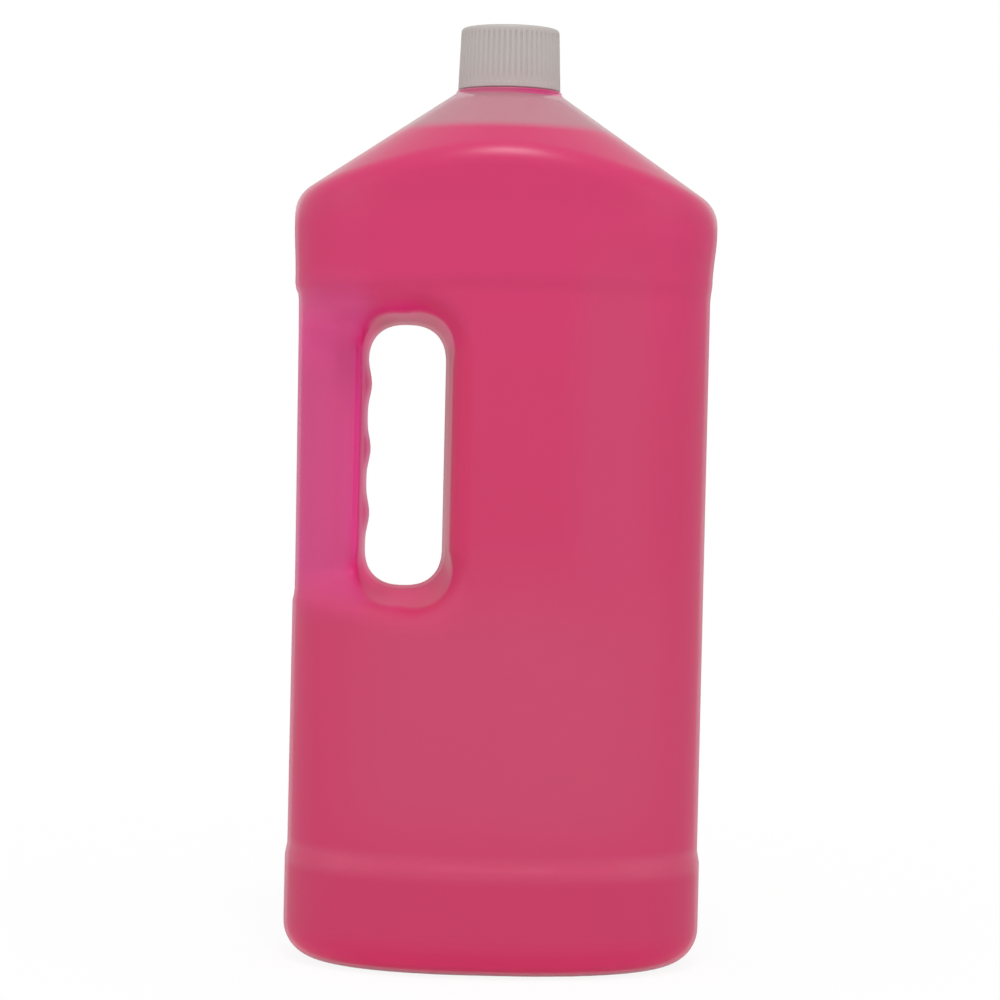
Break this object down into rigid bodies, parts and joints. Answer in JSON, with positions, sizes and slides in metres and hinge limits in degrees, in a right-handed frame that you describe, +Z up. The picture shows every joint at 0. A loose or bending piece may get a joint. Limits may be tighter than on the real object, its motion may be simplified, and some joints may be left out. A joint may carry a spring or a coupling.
{
  "type": "tile cleaner bottle",
  "caption": "Milky plastic bottle with a moulded-in handle and finger grips, filled with pink fluid and closed by a ribbed white screw cap.",
  "frame": {"origin": "middle of the base on the surface that the bottle stands on, under the neck", "axes": "+Z up through the neck, -Y out of the broad front, -X towards the handle"},
  "size_m": [0.1318, 0.0926, 0.2902],
  "materials": {
    "natural_shell": "satin",
    "pink_fluid": "gloss",
    "white_cap": "satin",
    "liner_foam": "matte"
  },
  "bodies": {
    "bottle": {"bottle": "natural_shell", "cleaning_fluid": "pink_fluid"},
    "cap_carrier": {"cap_liner": "liner_foam"},
    "cap": {"cap": "white_cap"}
  },
  "joints": [
    {"name": "cap_rise", "type": "slide", "parent": "bottle", "child": "cap_carrier", "axis": [0, 0, 1], "range_m": [0, 0.0195]},
    {"name": "cap_turn", "type": "hinge", "parent": "cap_carrier", "child": "cap", "pos_m": [0, 0, 0.2709], "axis": [0, 0, 1], "range_deg": [0, 1620]}
  ],
  "couplings": [
    {"joint": "cap_rise", "follows": "cap_turn", "m_per_rad": 0.00067322}
  ]
}
